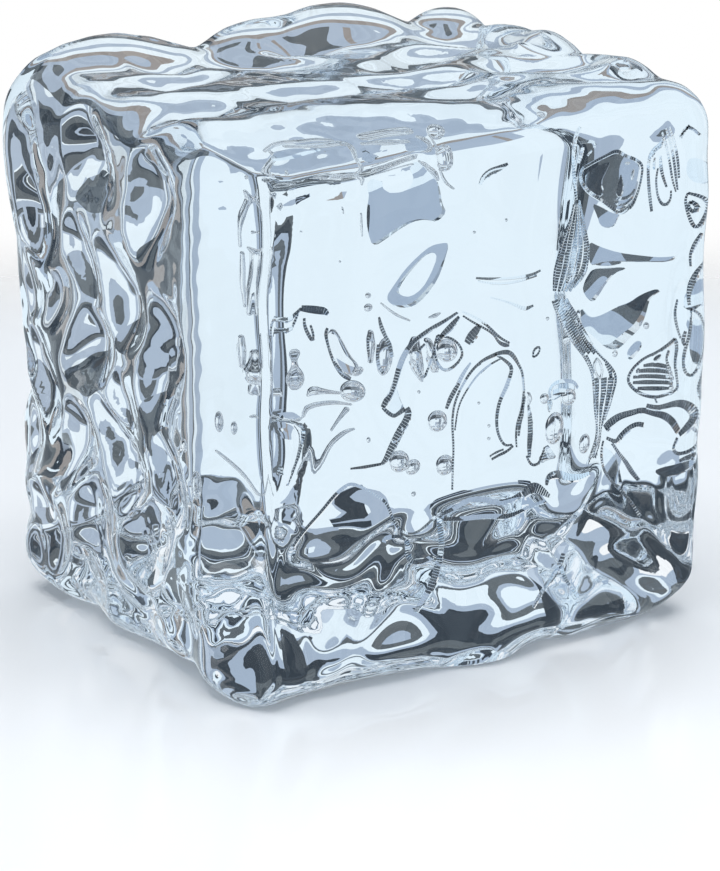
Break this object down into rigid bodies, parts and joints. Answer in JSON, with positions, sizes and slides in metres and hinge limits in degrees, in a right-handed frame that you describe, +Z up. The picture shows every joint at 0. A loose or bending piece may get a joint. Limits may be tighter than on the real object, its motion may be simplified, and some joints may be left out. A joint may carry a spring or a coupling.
{
  "type": "ice block",
  "caption": "Clear block of ice with a flat base, calm front and back faces, and hollows, swells and ridges over its other faces; cools a drink or dresses a display.",
  "frame": {"origin": "middle of the flat underside, under the middle of the block", "axes": "+Z up from the underside; -Y out of the calm front face; -X out of the scalloped left face"},
  "size_m": [0.0543, 0.0468, 0.053],
  "materials": {
    "ice": "gloss"
  },
  "bodies": {
    "root": {"ice_block": "ice"}
  },
  "joints": []
}
